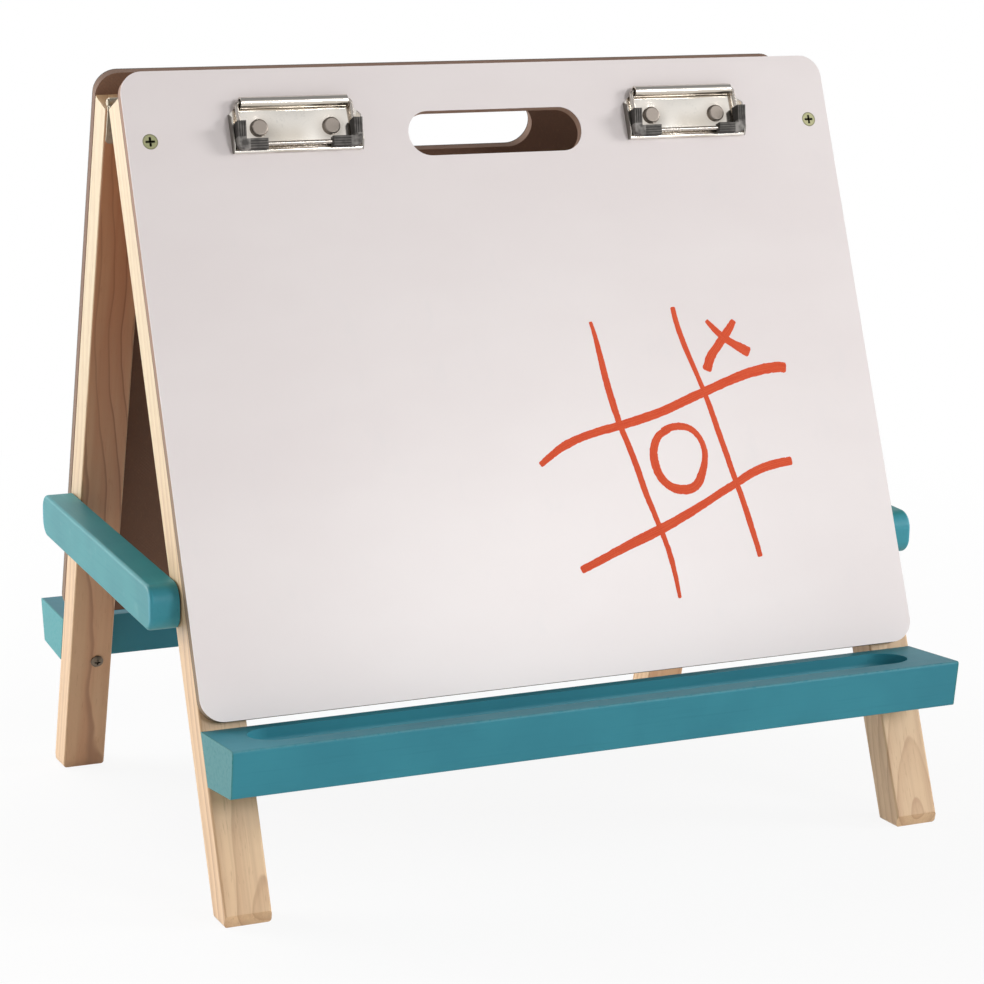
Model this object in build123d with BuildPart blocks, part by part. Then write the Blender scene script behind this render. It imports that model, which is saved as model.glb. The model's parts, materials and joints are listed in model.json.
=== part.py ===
from build123d import *
import os
from math import atan2, cos, degrees, hypot, radians, sin, tan

# Two-sided desk easel: a whiteboard frame and a chalkboard frame, hinged together along their tops and
# held apart by a stay on each side.  Millimetres, +Z up, the desk at z = 0, the hinge axis above the
# origin and along X, the whiteboard frame on the -Y side.
#
# Each frame is drawn in its own leaning coordinates, counted from the hinge axis:
#   across  along X,  up  along the legs,  out  square to the board and away from the other frame.

# ---------------------------------------------------------------- the two frames
frame_width = 400.0  # over the outer sides of the legs
hinge_height = 388.0  # hinge axis above the desk
lean = 19.8  # of each frame from the vertical, degrees
fold_gap = 1.5  # inner faces of the legs from the hinge axis
leg_width = 24.0
leg_thickness = 19.5
leg_end_drop = 4.4  # top end of a leg below the hinge axis
leg_edge_ease = 1.2  # rounding of the long edges
foot_corner = 2.0  # rounded lower corners, as seen from the front
foot_bevel = 6.5  # height of the bevel on the outer face's lower edge
foot_bevel_depth = 3.6
foot_bevel_round = 0.8

# ---------------------------------------------------------------- boards
backing_thickness = 5.0
facing_thickness = 0.6
board_height = 328.0
board_rise = 7.5  # top edge above the hinge axis
board_corner = 12.0
hand_slot_length = 99.0
hand_slot_height = 24.0
hand_slot_drop = 37.0  # centre below the top edge
board_screw_drop = 36.5  # centre below the top edge
board_screw_length = 20.0

# ---------------------------------------------------------------- trays
tray_gap = 3.0  # between the board's lower edge and the tray
tray_depth = 49.4
tray_front = 25.0
tray_rise = 3.2  # the front edge stands up by this angle, degrees
tray_undercut = 10.0  # the front face leans back under by this angle, degrees
tray_underside = 5.6  # the underside rises to the front by this angle, degrees
tray_nose = 1.2  # rounding of the front edges
trough_width = 28.0
trough_rim = 13.5  # flat rim in front of the trough
trough_end = 17.0  # left at each end of the tray
trough_depth = 9.0
trough_floor_round = 4.0
tray_screw_inset = 15.5  # from the outer side of the leg
tray_screw_rise = 9.5  # above the tray's lower back edge
tray_screw_bite = 12.0  # in the tray
dowel_radius = 3.0
dowel_length = 18.0
dowel_drop = 8.5  # below the tray's upper back edge
dowel_chamfer = 0.6

# ---------------------------------------------------------------- hinges
hinge_width = 22.0
knuckle_radius = 2.4
leaf_thickness = 1.2
leaf_length = 20.0
knuckle_gap = 0.3
pin_radius = 1.2
pin_head_radius = 1.9
pin_head = 0.9
pin_head_round = 0.5
leaf_corner = 1.8
leaf_screw_spread = 11.0
leaf_screw_stagger = 5.0
leaf_screw_length = 11.0

# ---------------------------------------------------------------- stays
stay_thickness = 15.0
stay_height = 23.4
stay_corner = 9.0
stay_edge_ease = 1.8
stay_front_overhang = 9.6  # beyond the pivot
stay_rear_overhang = 9.6  # beyond the peg
pivot_depth = 5.6  # pivot from the inner face of the front leg
pivot_drop = 258.5  # pivot below the hinge axis, along the leg
peg_drop = 248.2  # peg below the hinge axis, along the rear leg
bolt_radius = 2.5
bolt_tip_radius = 1.9
bolt_head_radius = 4.8
bolt_head = 2.8
insert_radius = 3.5
insert_length = 9.0
washer_radius = 6.0
washer_thickness = 0.8
peg_radius = 3.0
peg_reach = 8.5  # of the peg out of the rear leg
peg_shank_radius = 2.0
peg_shank = 16.0
peg_chamfer = 0.6
fold_angle = 39.0  # of the rear frame, from open to folded flat, degrees
exit_fold = 2.0  # of the rear frame, when the peg leaves the stay, degrees

# ---------------------------------------------------------------- paper clips
clip_inset = 89.0  # middle of a clip from the frame's side
clip_drop = 15.8  # barrel top below the board's top edge
clip_width = 70.0
clip_height = 28.8
clip_sheet = 0.8
clip_flange = 4.4  # the sides stand off the board by this
clip_flange_fall = 2.5  # their front edge starts this far below the shoulder
clip_shoulder = 20.3  # where the sides start to narrow, above the lower edge
clip_shoulder_step = 6.2  # from the barrel's end out to the side
clip_lip = 1.1  # radius of the curled lower edge
clip_lip_overlap = 0.5  # of the sides onto the curl
barrel_radius = 2.95
barrel_wall = 0.7
barrel_mouth = 3.0  # depth to which the barrel is open at each end
bail_wire_radius = 1.1
bail_bend = 1.8
bail_clear = 0.2  # wire off the barrel's end
bail_stub = 12.0  # of each wire end in the barrel
bail_bar_rise = 3.8  # lower bar above the clip's lower edge
bail_bar_stand = 4.4  # lower bar off the board
grip_width = 4.8  # of the upright arm
grip_bar_height = 5.2  # of the level arm
grip_length = 16.2
grip_height = 14.0
grip_rise = 0.9  # above the clip's lower edge
grip_clear = 0.6  # from the clip's sides and its lip
grip_front_low = 6.1  # front face off the board at its lower edge
grip_front_high = 10.0  # and at its upper edge
grip_corner = 3.6
grip_ease = 0.5
grip_block = 6.4  # plain corner between the ribbed arms
rib_groove = 0.5  # width of a groove between ribs
rib_depth = 0.35
rib_pitch = 1.25
rivet_spread = 39.0
rivet_rise = 13.1
rivet_head_radius = 4.5
rivet_flat_radius = 3.5
rivet_head = 1.7
rivet_rim = 0.5  # straight rim of the head
rivet_radius = 1.9
rivet_clinch_radius = 3.2
rivet_clinch = 0.9

# ---------------------------------------------------------------- screws and fits
screw_radius = 1.8
screw_head_radius = 4.0
screw_tip_radius = 0.3
small_screw_radius = 1.2
small_screw_head_radius = 2.4
pan_head_radius = 3.6
pan_head = 2.0
pan_rim = 0.3  # straight rim of a domed head, of its height
recess_width = 0.9
recess_reach = 1.2  # length of a flat head's cross, of the head's radius
recess_sink = 0.7  # depth of a domed head's cross, of the head's height
recess_taper = 8.0  # degrees
screw_point = 1.6  # length of a screw's point, of what it narrows by
hole_clearance = 0.05  # round a fixed screw, dowel or insert
running_clearance = 0.1  # round a pin that turns
slot_clearance = 0.4  # round a peg that slides

# ---------------------------------------------------------------- worked out
leg_outer = fold_gap + leg_thickness
board_outer = leg_outer + backing_thickness + facing_thickness
leg_middle = (frame_width - leg_width) / 2
board_bottom = board_rise - board_height
tray_top = board_bottom - tray_gap
slope = radians(lean)
FRONT, REAR = -1, 1
SIDES = {"left": -1, "right": 1}

clip_spread = frame_width - 2 * clip_inset
barrel_length = clip_width - 2 * clip_shoulder_step
barrel_up = clip_height - barrel_radius
bail_arm = barrel_length / 2 + bail_bend + bail_clear
bail_drop = barrel_up - bail_bar_rise
bail_reach = hypot(bail_drop, bail_bar_stand - barrel_radius)
bail_slope = atan2(bail_bar_stand - barrel_radius, bail_drop)
bail_start = barrel_length / 2 - bail_stub
grip_outer = clip_width / 2 - clip_sheet - grip_clear
grip_stand = 2 * clip_lip + grip_clear
grip_tilt = atan2(grip_front_high - grip_front_low, grip_height)


def out_vector(facing):
    """Direction square to a frame's board, away from the other frame."""
    return Vector(0, facing * cos(slope), sin(slope))


def up_vector(facing):
    """Direction up a frame's legs."""
    return Vector(0, -facing * sin(slope), cos(slope))


def frame_point(facing, across, up, out):
    """World point of a frame's own coordinates."""
    return Vector(across, 0, hinge_height) + up_vector(facing) * up + out_vector(facing) * out


def face_plane(facing, out):
    """Plane parallel to a board: its y runs up the legs and its z outward."""
    return Plane(frame_point(facing, 0, 0, out), x_dir=(-facing, 0, 0), z_dir=out_vector(facing))


def side_plane(facing, across):
    """Plane square to X: its x runs outward and its y up the legs."""
    return Plane(frame_point(facing, across, 0, 0), x_dir=out_vector(facing), z_dir=(facing, 0, 0))


def into_wood(facing, across, up, out, sense=-1):
    """Plane of a hole or screw, square to the board: z points along the screw."""
    return Plane(
        frame_point(facing, across, up, out), x_dir=(1, 0, 0), z_dir=out_vector(facing) * sense
    )


def floor_up(out):
    """Where the desk cuts a frame, at a distance outward, as an up coordinate."""
    return -(hinge_height + out * sin(slope)) / cos(slope)


def finish(piece, name):
    """Label a finished piece and write it."""
    piece.label = name
    export_step(piece, f"parts/{name}.step")


# Tray profile, as points of a side plane.
tray_top_angle = radians(tray_rise - lean)
tray_front_angle = radians(-90 - lean - tray_undercut)
tray_lip = (
    leg_outer + tray_depth * cos(tray_top_angle),
    tray_top + tray_depth * sin(tray_top_angle),
)
tray_toe = (
    tray_lip[0] + tray_front * cos(tray_front_angle),
    tray_lip[1] + tray_front * sin(tray_front_angle),
)
tray_bottom = tray_toe[1] - (tray_toe[0] - leg_outer) * tan(radians(tray_underside - lean))
tray_screw_up = tray_bottom + tray_screw_rise
dowel_up = tray_top - dowel_drop
tray_screw_across = frame_width / 2 - tray_screw_inset

# Stay pivots and pegs, in the YZ plane, and the line from one to the other.
pivot = frame_point(FRONT, 0, -pivot_drop, fold_gap + pivot_depth)
peg = frame_point(REAR, 0, -peg_drop, fold_gap + leg_thickness / 2)
stay_span = hypot(peg.Y - pivot.Y, peg.Z - pivot.Z)
stay_tilt = atan2(peg.Z - pivot.Z, peg.Y - pivot.Y)
stay_lift = 90 - lean - degrees(stay_tilt)  # turns the stay along the front leg
stay_ratio = stay_lift / fold_angle
stay_inner = frame_width / 2 + washer_thickness


def peg_in_stay(fold):
    """The peg's place along (Y) and above (Z) a stay's middle line, at a fold angle in degrees."""
    hinge = Vector(0, 0, hinge_height)
    folded = (peg - hinge).rotate(Axis.X, -fold) + hinge
    return (folded - pivot).rotate(Axis.X, -degrees(stay_tilt) - stay_ratio * fold)


# The slot follows the peg out of the stay, as the rear frame folds in and the stay lifts.
leave = peg_in_stay(exit_fold) - peg_in_stay(0)
leave_angle = atan2(leave.Z, leave.Y)
slot_run = stay_height / 2 / abs(sin(leave_angle)) + 2 * peg_radius


def hole(radius, depth):
    """Blind round hole along the current seats."""
    Cylinder(
        radius, depth, align=(Align.CENTER, Align.CENTER, Align.MIN), mode=Mode.SUBTRACT
    )


# ---------------------------------------------------------------- where things are fixed
def board_screw_seat(facing, side):
    """On the board's face over a leg, pointing into the wood."""
    return into_wood(facing, side * leg_middle, board_rise - board_screw_drop, board_outer)


def leaf_screw_seats(facing, side):
    """On a hinge leaf, pointing into the leg: two, one higher than the other."""
    middle = -(knuckle_radius + knuckle_gap + leaf_length) / 2 - leaf_screw_stagger / 4
    return [
        into_wood(
            facing,
            side * leg_middle + end * leaf_screw_spread / 2,
            middle + end * leaf_screw_stagger / 2,
            fold_gap - leaf_thickness,
            sense=1,
        )
        for end in (-1, 1)
    ]


def tray_screw_seat(facing, side):
    """On a leg's inner face, pointing through it into the tray."""
    return into_wood(facing, side * tray_screw_across, tray_screw_up, fold_gap, sense=1)


def dowel_seat(facing, side):
    """Where a dowel crosses from leg to tray, at the dowel's middle."""
    return into_wood(facing, side * leg_middle, dowel_up, leg_outer)


def bolt_seat(side, across):
    """On the stay's pivot axis, pointing outward."""
    return Plane((side * across, pivot.Y, pivot.Z), z_dir=(side, 0, 0))


def peg_seat(side):
    """On the outer side of a rear leg, pointing into it."""
    return Plane((side * frame_width / 2, peg.Y, peg.Z), z_dir=(-side, 0, 0))


def clip_spot(side, across=0, up=0, out=0):
    """Plane on a clip, counted from the middle of its lower edge: x across, y up, z outward."""
    lower_edge = board_rise - clip_drop - clip_height
    return Plane(
        frame_point(
            FRONT, side * clip_spread / 2 + across, lower_edge + up, board_outer + out
        ),
        x_dir=(1, 0, 0),
        z_dir=out_vector(FRONT),
    )


def rivet_seats(side, out=0):
    """Where a clip's rivets cross the board."""
    return [clip_spot(side, end * rivet_spread / 2, rivet_rise, out) for end in (-1, 1)]


# ---------------------------------------------------------------- screws, drawn pointing along +Z
def countersunk_screw(head_radius, shank_radius, length):
    """Flat head flush with z = 0, a cross recess and a pointed shank."""
    point = screw_point * shank_radius
    with BuildPart() as screw:
        with BuildSketch(Plane.XZ):
            with BuildLine():
                Polyline(
                    (0, 0),
                    (head_radius, 0),
                    (shank_radius, head_radius - shank_radius),
                    (shank_radius, length - point),
                    (0, length),
                    close=True,
                )
            make_face()
        revolve(axis=Axis.Z)
        with BuildSketch():
            Rectangle(recess_reach * head_radius, recess_width)
            Rectangle(recess_width, recess_reach * head_radius)
        extrude(amount=head_radius - shank_radius, taper=recess_taper, mode=Mode.SUBTRACT)
    return screw.part


def pan_screw(head_radius, head_height, shank_radius, length, tip_radius):
    """Domed head standing on z = 0, a cross recess and a shank that narrows to its tip."""
    point = screw_point * (shank_radius - tip_radius)
    rim = pan_rim * head_height
    with BuildPart() as screw:
        with BuildSketch(Plane.XZ):
            with BuildLine():
                Polyline(
                    (0, -head_height),
                    (0, length),
                    (tip_radius, length),
                    (shank_radius, length - point),
                    (shank_radius, 0),
                    (head_radius, 0),
                    (head_radius, -rim),
                )
                TangentArc((0, -head_height), (head_radius, -rim), tangent=(1, 0))
            make_face()
        revolve(axis=Axis.Z)
        with BuildSketch(Plane.XY.offset(-head_height)):
            Rectangle(head_radius, recess_width)
            Rectangle(recess_width, head_radius)
        extrude(amount=recess_sink * head_height, taper=recess_taper, mode=Mode.SUBTRACT)
    return screw.part


# ---------------------------------------------------------------- legs
def make_leg(facing, side):
    """A leg with eased edges, its foot cut level, and the holes of what is fixed to it."""
    across = side * leg_middle
    with BuildPart() as leg:
        with BuildSketch(face_plane(facing, fold_gap)):
            with Locations((-facing * across, (floor_up(leg_outer) - leg_end_drop) / 2)):
                Rectangle(leg_width, -floor_up(leg_outer) - leg_end_drop)
        extrude(amount=leg_thickness)
        fillet(leg.edges().filter_by(Axis((0, 0, 0), up_vector(facing))), leg_edge_ease)
        # the foot is level, its outer face bevelled and its lower corners rounded
        toe = leg_outer - foot_bevel_depth
        with BuildSketch(side_plane(facing, across)):
            with BuildLine():
                Polyline(
                    (0, 0),
                    (leg_outer, 0),
                    (leg_outer, floor_up(leg_outer) + foot_bevel),
                    (toe, floor_up(toe)),
                    (0, floor_up(0)),
                    close=True,
                )
            make_face()
            bevel = vertices().filter_by_position(Axis.X, toe, leg_outer).sort_by(Axis.Y)[:2]
            fillet(bevel, foot_bevel_round)
        extrude(amount=leg_width, both=True, mode=Mode.INTERSECT)
        above = hinge_height + leg_outer
        with BuildSketch(Plane.XZ):
            with Locations((across, above / 2)):
                Rectangle(leg_width, above)
            fillet(vertices().group_by(Axis.Y)[0], foot_corner)
        extrude(amount=frame_width, both=True, mode=Mode.INTERSECT)
        with Locations(board_screw_seat(facing, side)):
            hole(screw_radius + hole_clearance, board_screw_length + hole_clearance)
        with Locations(*leaf_screw_seats(facing, side)):
            hole(small_screw_radius + hole_clearance, leaf_screw_length + hole_clearance)
        with Locations(tray_screw_seat(facing, side)):
            hole(screw_radius + hole_clearance, leg_thickness)
        with Locations(dowel_seat(facing, side)):
            Cylinder(
                dowel_radius + hole_clearance,
                dowel_length + 2 * hole_clearance,
                mode=Mode.SUBTRACT,
            )
        if facing == FRONT:
            with Locations(bolt_seat(side, leg_middle)):
                Cylinder(bolt_radius + running_clearance, leg_width, mode=Mode.SUBTRACT)
        else:
            with Locations(peg_seat(side)):
                hole(peg_shank_radius + hole_clearance, peg_shank + hole_clearance)
    return leg.part


# ---------------------------------------------------------------- boards
def make_sheet(facing, out, thickness):
    """One layer of a board: rounded corners, the hand hold, and its screw and rivet holes."""
    with BuildPart() as sheet:
        with BuildSketch(face_plane(facing, out)):
            with Locations((0, board_rise - board_height / 2)):
                RectangleRounded(frame_width, board_height, board_corner)
            with Locations((0, board_rise - hand_slot_drop)):
                SlotOverall(hand_slot_length, hand_slot_height, mode=Mode.SUBTRACT)
        extrude(amount=thickness)
        for side in SIDES.values():
            with Locations(-board_screw_seat(facing, side)):
                CounterSinkHole(
                    screw_radius + hole_clearance,
                    screw_head_radius + hole_clearance,
                    depth=backing_thickness + facing_thickness,
                    counter_sink_angle=90,
                )
            if facing == FRONT:
                with Locations(*rivet_seats(side)):
                    Hole(rivet_radius + hole_clearance, backing_thickness + facing_thickness)
    return sheet.part


def make_board_screws(facing):
    """The two countersunk screws through a board."""
    with BuildPart() as screws:
        with Locations(*[board_screw_seat(facing, side) for side in SIDES.values()]):
            add(countersunk_screw(screw_head_radius, screw_radius, board_screw_length))
    return screws.part


# ---------------------------------------------------------------- trays
def make_tray(facing):
    """A pencil tray: bevelled to the legs behind, raised and undercut in front, with a long trough."""
    toward_lip = out_vector(facing) * cos(tray_top_angle) + up_vector(facing) * sin(tray_top_angle)
    top_normal = up_vector(facing) * cos(tray_top_angle) - out_vector(facing) * sin(tray_top_angle)
    trough_middle = tray_depth - trough_rim - trough_width / 2
    with BuildPart() as tray:
        with BuildSketch(side_plane(facing, 0)):
            with BuildLine():
                Polyline(
                    (leg_outer, tray_top), tray_lip, tray_toe, (leg_outer, tray_bottom), close=True
                )
            make_face()
            fillet(vertices().sort_by(Axis.X)[-2:], tray_nose)
        extrude(amount=frame_width / 2, both=True)
        trough = Plane(
            frame_point(facing, 0, tray_top, leg_outer) + toward_lip * trough_middle,
            x_dir=(1, 0, 0),
            z_dir=top_normal,
        )
        with BuildSketch(trough):
            SlotOverall(frame_width - 2 * trough_end, trough_width)
        extrude(amount=-trough_depth, mode=Mode.SUBTRACT)
        floor = faces(Select.LAST).sort_by(SortBy.AREA)[-1]
        fillet(floor.edges(), trough_floor_round)
        for side in SIDES.values():
            with Locations(tray_screw_seat(facing, side)):
                hole(
                    screw_radius + hole_clearance,
                    leg_thickness + tray_screw_bite + hole_clearance,
                )
            with Locations(dowel_seat(facing, side)):
                Cylinder(
                    dowel_radius + hole_clearance,
                    dowel_length + 2 * hole_clearance,
                    mode=Mode.SUBTRACT,
                )
    return tray.part


def make_tray_screws(facing):
    """The two pan-head screws from inside the legs into the tray."""
    with BuildPart() as screws:
        with Locations(*[tray_screw_seat(facing, side) for side in SIDES.values()]):
            add(
                pan_screw(
                    pan_head_radius,
                    pan_head,
                    screw_radius,
                    leg_thickness + tray_screw_bite,
                    tip_radius=screw_tip_radius,
                )
            )
    return screws.part


def make_dowels(facing):
    """The two wood dowels that keep the tray from turning on its screws."""
    with BuildPart() as dowels:
        with Locations(*[dowel_seat(facing, side) for side in SIDES.values()]):
            Cylinder(dowel_radius, dowel_length)
        ends = edges().filter_by(GeomType.CIRCLE)
        chamfer(ends, dowel_chamfer)
    return dowels.part


# ---------------------------------------------------------------- hinges
def make_leaf(facing, side, knuckles):
    """A hinge leaf with its share of the knuckles, counted across from the middle one."""
    across = side * leg_middle
    pitch = hinge_width / 3
    leaf_top = -(knuckle_radius + knuckle_gap)
    leaf_middle = fold_gap - leaf_thickness / 2
    barrels = [side_plane(facing, across + place * pitch) for place in knuckles]
    with BuildPart() as leaf:
        with BuildSketch(side_plane(facing, across)):
            with Locations((leaf_middle, leaf_top - leaf_length / 2)):
                Rectangle(leaf_thickness, leaf_length)
        extrude(amount=hinge_width / 2, both=True)
        with BuildSketch(*barrels):
            Circle(knuckle_radius)
            with Locations((leaf_middle, leaf_top / 2)):
                Rectangle(leaf_thickness, -leaf_top)
        extrude(amount=(pitch - knuckle_gap) / 2, both=True)
        with Locations(*barrels):
            Cylinder(
                pin_radius + (hole_clearance if facing == FRONT else running_clearance),
                pitch,
                mode=Mode.SUBTRACT,
            )
        with Locations(*[-seat for seat in leaf_screw_seats(facing, side)]):
            CounterSinkHole(
                small_screw_radius + hole_clearance,
                small_screw_head_radius + hole_clearance,
                depth=leaf_thickness,
                counter_sink_angle=90,
            )
        lower = leaf.faces().filter_by(Axis((0, 0, 0), up_vector(facing))).sort_by(Axis.Z)[0]
        fillet(
            lower.edges().filter_by(Axis((0, 0, 0), out_vector(facing))), leaf_corner
        )
    return leaf.part


def make_hinge_pin(side):
    """The hinge pin, headed at both ends."""
    with BuildPart() as pin:
        with Locations(side_plane(FRONT, side * leg_middle)):
            Cylinder(pin_radius, hinge_width + pin_head)
        with Locations(
            *[
                side_plane(FRONT, side * leg_middle + end * (hinge_width + pin_head) / 2)
                for end in (-1, 1)
            ]
        ):
            Cylinder(pin_head_radius, pin_head)
        heads = edges().filter_by(GeomType.CIRCLE).sort_by(Axis.X)
        fillet([heads[0], heads[-1]], pin_head_round)
    return pin.part


def make_hinge_screws(facing):
    """The small countersunk screws of both hinges' leaves on one frame."""
    seats = [seat for side in SIDES.values() for seat in leaf_screw_seats(facing, side)]
    with BuildPart() as screws:
        with Locations(*seats):
            add(countersunk_screw(small_screw_head_radius, small_screw_radius, leaf_screw_length))
    return screws.part


# ---------------------------------------------------------------- stays
def make_stay(side):
    """A stay: round-ended bar with a blind bore for its pivot and a blind slot for the peg."""
    inner_face = Plane(
        (side * stay_inner, pivot.Y, pivot.Z),
        x_dir=(0, cos(stay_tilt), sin(stay_tilt)),
        z_dir=(1, 0, 0),
    )
    length = stay_front_overhang + stay_span + stay_rear_overhang
    with BuildPart() as stay:
        with BuildSketch(inner_face):
            with Locations((length / 2 - stay_front_overhang, 0)):
                RectangleRounded(length, stay_height, stay_corner)
        extrude(amount=side * stay_thickness)
        outer_side = stay.faces().sort_by(Axis.X)[-1 if side > 0 else 0]
        fillet(outer_side.edges(), stay_edge_ease)
        with BuildSketch(inner_face):
            Circle(insert_radius + hole_clearance)
        extrude(amount=side * (insert_length + hole_clearance), mode=Mode.SUBTRACT)
        # the slot runs from the peg down and forward, out of the lower edge
        with BuildSketch(inner_face):
            with Locations(
                (
                    stay_span + slot_run / 2 * cos(leave_angle),
                    slot_run / 2 * sin(leave_angle),
                )
            ):
                SlotCenterToCenter(
                    slot_run, 2 * (peg_radius + slot_clearance), rotation=degrees(leave_angle)
                )
        extrude(
            amount=side * (peg_reach - washer_thickness + slot_clearance), mode=Mode.SUBTRACT
        )
    return stay.part


def make_stay_bolt(side):
    """The pivot bolt, from inside the front leg into the stay."""
    with BuildPart() as bolt:
        with Locations(bolt_seat(side, frame_width / 2 - leg_width - washer_thickness)):
            add(
                pan_screw(
                    bolt_head_radius,
                    bolt_head,
                    bolt_radius,
                    leg_width + 2 * washer_thickness + insert_length,
                    tip_radius=bolt_tip_radius,
                )
            )
    return bolt.part


def make_stay_insert(side):
    """The threaded brass insert in the stay."""
    with BuildPart() as insert:
        with Locations(bolt_seat(side, stay_inner + insert_length / 2)):
            Cylinder(insert_radius, insert_length)
            Cylinder(bolt_radius + hole_clearance, insert_length, mode=Mode.SUBTRACT)
    return insert.part


def make_stay_washers(side):
    """The washer between leg and stay, and the one under the bolt's head."""
    with BuildPart() as washers:
        with Locations(
            bolt_seat(side, frame_width / 2 + washer_thickness / 2),
            bolt_seat(side, frame_width / 2 - leg_width - washer_thickness / 2),
        ):
            Cylinder(washer_radius, washer_thickness)
            Cylinder(bolt_radius + running_clearance, washer_thickness, mode=Mode.SUBTRACT)
    return washers.part


def make_stay_peg(side):
    """The steel peg screwed into the side of a rear leg, on which the stay hooks."""
    with BuildPart() as pin:
        with Locations(peg_seat(side)):
            Cylinder(peg_shank_radius, peg_shank, align=(Align.CENTER, Align.CENTER, Align.MIN))
            Cylinder(peg_radius, peg_reach, align=(Align.CENTER, Align.CENTER, Align.MAX))
        tip = edges().filter_by(GeomType.CIRCLE).sort_by(Axis.X)[-1 if side > 0 else 0]
        chamfer(tip, peg_chamfer)
    return pin.part


# ---------------------------------------------------------------- paper clips
def make_clip_base(side):
    """The pressed plate: rolled barrel on top, turned-up sides, narrowed shoulders and a curled lip."""
    half = clip_width / 2
    with BuildPart() as base:
        with BuildSketch(clip_spot(side)):
            with BuildLine():
                Polyline(
                    (-half, clip_lip),
                    (-half, clip_shoulder),
                    (-barrel_length / 2, barrel_up),
                    (barrel_length / 2, barrel_up),
                    (half, clip_shoulder),
                    (half, clip_lip),
                    close=True,
                )
            make_face()
        extrude(amount=clip_sheet)
        # barrel and lip, round sections run across the plate
        middle = clip_spot(side)
        section = Plane(middle.origin, x_dir=middle.z_dir, z_dir=(-1, 0, 0))
        with BuildSketch(section):
            with Locations((barrel_radius, barrel_up)):
                Circle(barrel_radius)
        extrude(amount=barrel_length / 2, both=True)
        with BuildSketch(section):
            with Locations((clip_lip, clip_lip)):
                Circle(clip_lip)
        extrude(amount=half, both=True)
        with BuildSketch(section):
            with Locations((barrel_radius, barrel_up)):
                Circle(bail_wire_radius + running_clearance)
        extrude(amount=barrel_length / 2, both=True, mode=Mode.SUBTRACT)
        for end in (-1, 1):
            with BuildSketch(section.offset(-end * barrel_length / 2)):
                with Locations((barrel_radius, barrel_up)):
                    Circle(barrel_radius - barrel_wall)
            extrude(amount=end * barrel_mouth, mode=Mode.SUBTRACT)
        # turned-up sides
        for end in (-1, 1):
            flange = Plane(
                clip_spot(side, end * (half - clip_sheet / 2)).origin,
                x_dir=middle.z_dir,
                z_dir=(-1, 0, 0),
            )
            with BuildSketch(flange):
                with BuildLine():
                    Polyline(
                        (0, clip_lip_overlap),
                        (2 * clip_lip, clip_lip_overlap),
                        (clip_flange, clip_flange),
                        (clip_flange, clip_shoulder - clip_flange_fall),
                        (clip_sheet, clip_shoulder),
                        (0, clip_shoulder),
                        close=True,
                    )
                make_face()
            extrude(amount=clip_sheet / 2, both=True)
        with Locations(*rivet_seats(side, clip_sheet)):
            Hole(rivet_radius + hole_clearance, clip_sheet)
    return base.part


def make_clip_rivets(side):
    """The two rivets of a clip, low flat heads in front and clinched behind the board."""
    board = backing_thickness + facing_thickness
    with BuildPart() as rivet:
        with BuildSketch(Plane.XZ):
            with BuildLine():
                Polyline(
                    (0, rivet_head),
                    (0, -clip_sheet - board - rivet_clinch),
                    (rivet_clinch_radius, -clip_sheet - board - rivet_clinch),
                    (rivet_clinch_radius, -clip_sheet - board),
                    (rivet_radius, -clip_sheet - board),
                    (rivet_radius, 0),
                    (rivet_head_radius, 0),
                    (rivet_head_radius, rivet_rim),
                )
                TangentArc(
                    (rivet_flat_radius, rivet_head), (rivet_head_radius, rivet_rim), tangent=(1, 0)
                )
                Line((0, rivet_head), (rivet_flat_radius, rivet_head))
            make_face()
        revolve(axis=Axis.Z)
    with BuildPart() as rivets:
        with Locations(*rivet_seats(side, clip_sheet)):
            add(rivet.part)
    return rivets.part


def make_bail(side, radius):
    """The sprung wire bail: both ends turned into the barrel, the lower bar across the paper."""
    axis_spot = clip_spot(side, 0, barrel_up, barrel_radius)
    down_bail = axis_spot.z_dir * sin(bail_slope) - axis_spot.y_dir * cos(bail_slope)
    bail_plane = Plane(
        axis_spot.origin, x_dir=(1, 0, 0), z_dir=Vector(1, 0, 0).cross(down_bail)
    )
    with BuildPart() as bail:
        with BuildLine(bail_plane) as route:
            FilletPolyline(
                (-bail_start, 0),
                (-bail_arm, 0),
                (-bail_arm, bail_reach),
                (bail_arm, bail_reach),
                (bail_arm, 0),
                (bail_start, 0),
                radius=bail_bend,
            )
        with BuildSketch(Plane(route.line @ 0, z_dir=route.line % 0)):
            Circle(radius)
        sweep()
    return bail.part


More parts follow.
